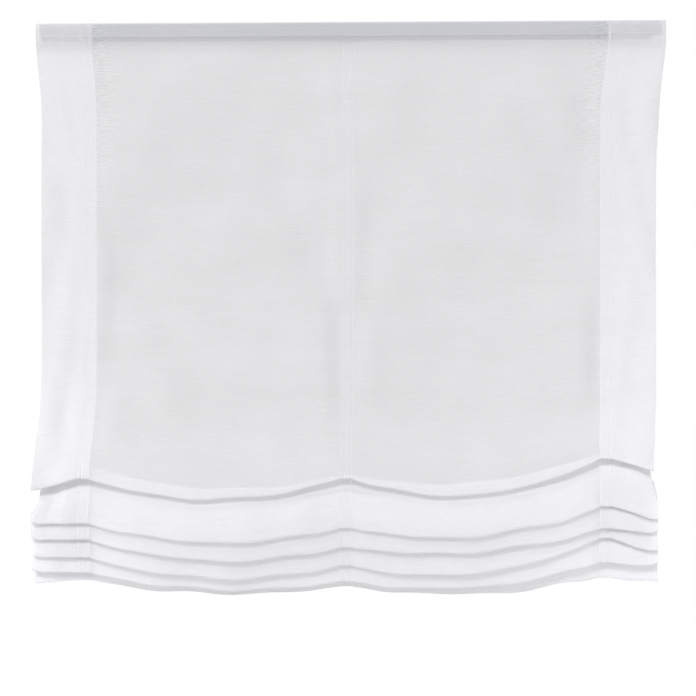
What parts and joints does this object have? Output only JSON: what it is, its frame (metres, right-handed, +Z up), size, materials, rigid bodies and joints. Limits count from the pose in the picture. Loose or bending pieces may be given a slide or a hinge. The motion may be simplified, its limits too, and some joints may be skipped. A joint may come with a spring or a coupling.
{
  "type": "roman blind",
  "caption": "Soft Roman blind of sheer white voile, partly raised into swagged folds by cords through sewn rings, hung from an aluminium head rail with cord spools.",
  "frame": {"origin": "on the wall plane, in the middle of the four bracket screw holes", "axes": "+X to the viewer's right along the rail, +Y into the wall, +Z up; the cloth's face looks along -Y"},
  "size_m": [1, 0.0846, 0.908],
  "materials": {
    "voile": "sheer slub voile",
    "woven_tape": "woven",
    "hook_tape": "hooked pile",
    "clear_ring": "clear moulded",
    "cord": "braided",
    "white_plastic": "moulded",
    "nylon": "moulded nylon",
    "aluminium": "anodised extrusion",
    "steel": "drawn bright",
    "bracket_steel": "powder coated",
    "lock_steel": "zinc plated"
  },
  "bodies": {
    "blind": {"fabric_panel": "voile", "loop_tape": "woven_tape", "gather_tape_left": "woven_tape", "gather_tape_centre": "woven_tape", "gather_tape_right": "woven_tape", "hook_tape": "hook_tape", "rings_left": "clear_ring", "rings_centre": "clear_ring", "rings_right": "clear_ring", "lift_cord_left": "cord", "lift_cord_centre": "cord", "lift_cord_right": "cord", "cord_stop_left": "white_plastic", "cord_stop_centre": "white_plastic", "cord_stop_right": "white_plastic", "end_cap": "white_plastic", "drive_housing": "white_plastic", "drive_cover": "white_plastic", "cradle_left": "nylon", "cradle_centre": "nylon", "cradle_right": "nylon", "head_rail": "aluminium", "brake_spring": "steel", "cover_screws": "steel", "bracket_left": "bracket_steel", "bracket_right": "bracket_steel"},
    "drive_train": {"drive_shaft": "steel", "chain_wheel": "nylon", "spool_left": "nylon", "spool_centre": "nylon", "spool_right": "nylon", "winding_left": "cord", "winding_centre": "cord", "winding_right": "cord"},
    "lock_left": {"bracket_lever_left": "lock_steel"},
    "lock_right": {"bracket_lever_right": "lock_steel"}
  },
  "joints": [
    {"name": "drive_turn", "type": "hinge", "parent": "blind", "child": "drive_train", "pos_m": [0, -0.022, -0.0005], "axis": [1, 0, 0], "continuous": true},
    {"name": "lock_left_turn", "type": "hinge", "parent": "blind", "child": "lock_left", "pos_m": [-0.34, -0.0176, 0.013], "axis": [0, 0, 1], "range_deg": [0, 90]},
    {"name": "lock_right_turn", "type": "hinge", "parent": "blind", "child": "lock_right", "pos_m": [0.34, -0.0176, 0.013], "axis": [0, 0, 1], "range_deg": [0, 90]}
  ]
}
